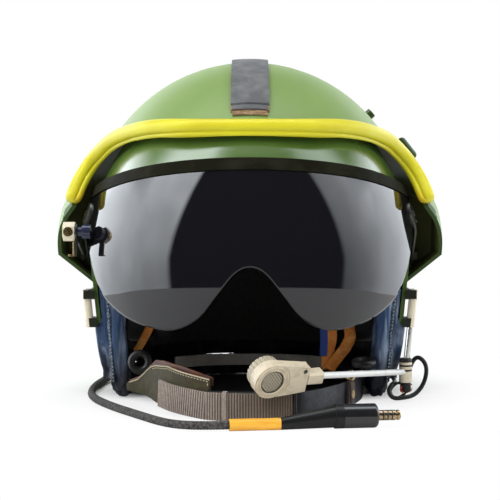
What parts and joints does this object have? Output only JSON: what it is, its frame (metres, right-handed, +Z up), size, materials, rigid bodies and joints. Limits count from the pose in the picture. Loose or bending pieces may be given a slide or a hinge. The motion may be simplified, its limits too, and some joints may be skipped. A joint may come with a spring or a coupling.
{
  "type": "pilot flight helmet",
  "caption": "Flight helmet with a hinged tinted visor under a flared hood, padded ear cups, chin strap, swinging boom microphone, and a cord with a jack plug.",
  "frame": {"origin": "on the table under the middle of the helmet's box, the cords and plug left out of the box", "axes": "+Z up; -Y out of the face opening; +X the wearer's left, where the boom is"},
  "size_m": [0.3008, 0.3287, 0.2672],
  "materials": {
    "shell_paint": "green satin paint over a moulded composite",
    "edge_trim_yellow": "smooth yellow edge moulding",
    "strip_grey": "dark grey grained strip",
    "strip_backing_brown": "layered brown backing",
    "cover_hardware": "dark painted metal",
    "lug_pale": "pale moulded lug",
    "lens_tint": "polished smoke tint",
    "rim_black": "black moulded rim",
    "visor_steel": "brushed plate",
    "bracket_dark": "dark painted plate",
    "cream_moulding": "cream enamel, worn at the edges",
    "brass_metal": "bright turned brass",
    "knob_navy": "knurled dark moulding",
    "clamp_green": "dark green paint",
    "tube_silver": "bright drawn tube",
    "ring_dark": "dark ring",
    "boom_white": "white sleeve",
    "capsule_grey": "grey ribbed drum",
    "grille_mesh": "fine mesh",
    "screw_dark": "blackened screw",
    "lead_black": "black sheath",
    "liner_foam": "moulded foam",
    "pad_leather": "soft dark leather over foam",
    "roll_leather": "creased blue-grey leather",
    "cup_black": "moulded cup",
    "seal_leather": "black leather ring over foam",
    "hanger_webbing": "brown webbing",
    "nape_webbing": "grey webbing",
    "chin_webbing": "ribbed grey webbing",
    "tab_olive": "olive tab with a stitched border",
    "strap_ring_rubber": "black rubber",
    "loop_tan": "tan leather",
    "tape_blue": "blue tape",
    "keeper_brown": "dark leather",
    "plug_rubber": "black rubber",
    "cord_braid": "dark braided cover",
    "sleeve_orange": "orange sleeve",
    "plug_black": "polished black"
  },
  "bodies": {
    "helmet": {"outer_shell": "shell_paint", "visor_cover": "shell_paint", "cover_fittings": "shell_paint", "cover_edge_trim": "edge_trim_yellow", "crown_strip": "strip_grey", "crown_strip_backing": "strip_backing_brown", "cover_spacers": "cover_hardware", "cover_screws": "cover_hardware", "wing_lugs": "lug_pale", "visor_pivots": "visor_steel", "pivot_nuts": "visor_steel", "lock_bracket": "bracket_dark", "lock_block": "cream_moulding", "side_bars": "cream_moulding", "lock_screw": "brass_metal", "lock_clip": "brass_metal", "snap_and_ring": "brass_metal", "plug_jack": "brass_metal", "side_bar_clamps": "clamp_green", "mic_lead": "lead_black", "lead_clip": "lead_black", "energy_liner": "liner_foam", "crown_pad": "pad_leather", "brow_pad": "pad_leather", "rear_pad": "pad_leather", "side_roll_left": "roll_leather", "side_roll_right": "roll_leather", "ear_cups": "cup_black", "earphones": "cup_black", "ear_seals": "seal_leather", "ear_hangers": "hanger_webbing", "nape_strap": "nape_webbing", "chin_strap": "chin_webbing", "chin_strap_tab": "tab_olive", "strap_rubber_rings": "strap_ring_rubber", "leather_loops": "loop_tan", "blue_tape": "tape_blue", "strap_keepers": "keeper_brown", "cord_gland": "plug_rubber", "plug_boot": "plug_rubber", "cord": "cord_braid", "cord_sleeve": "sleeve_orange", "plug_body": "plug_black", "plug_bands": "plug_black"},
    "visor": {"visor_lens": "lens_tint", "visor_rim": "rim_black", "visor_arm_left": "visor_steel", "visor_arm_right": "visor_steel", "visor_arm_screws": "visor_steel"},
    "lock_knob": {"lock_knob": "knob_navy"},
    "boom_post": {"boom_post": "tube_silver", "boom_base": "cream_moulding"},
    "boom": {"boom_barrel": "cream_moulding", "boom_rings": "ring_dark", "boom_arm": "boom_white", "mic_connector": "cream_moulding"},
    "mic": {"mic_housing": "cream_moulding", "mic_capsule": "capsule_grey", "mic_grille": "grille_mesh", "mic_screw": "screw_dark"}
  },
  "joints": [
    {"name": "visor_hinge", "type": "hinge", "parent": "helmet", "child": "visor", "pos_m": [0, 0.01425, 0.1105], "axis": [-1, 0, 0], "range_deg": [0, 50]},
    {"name": "lock_knob_turn", "type": "hinge", "parent": "helmet", "child": "lock_knob", "pos_m": [-0.125, -0.05175, 0.1315], "axis": [1, 0, 0], "range_deg": [0, 180]},
    {"name": "boom_post_slide", "type": "slide", "parent": "helmet", "child": "boom_post", "axis": [0.0991, 0, 0.9951], "range_m": [0, 0.01]},
    {"name": "boom_swing", "type": "hinge", "parent": "boom_post", "child": "boom", "pos_m": [0.12065, -0.02675, 0.022], "axis": [0, 0, 1], "range_deg": [0, 80]},
    {"name": "mic_tilt", "type": "hinge", "parent": "boom", "child": "mic", "pos_m": [0.03822, -0.13441, 0.03269], "axis": [0.8829, 0.4695, 0], "range_deg": [-25, 25]}
  ]
}
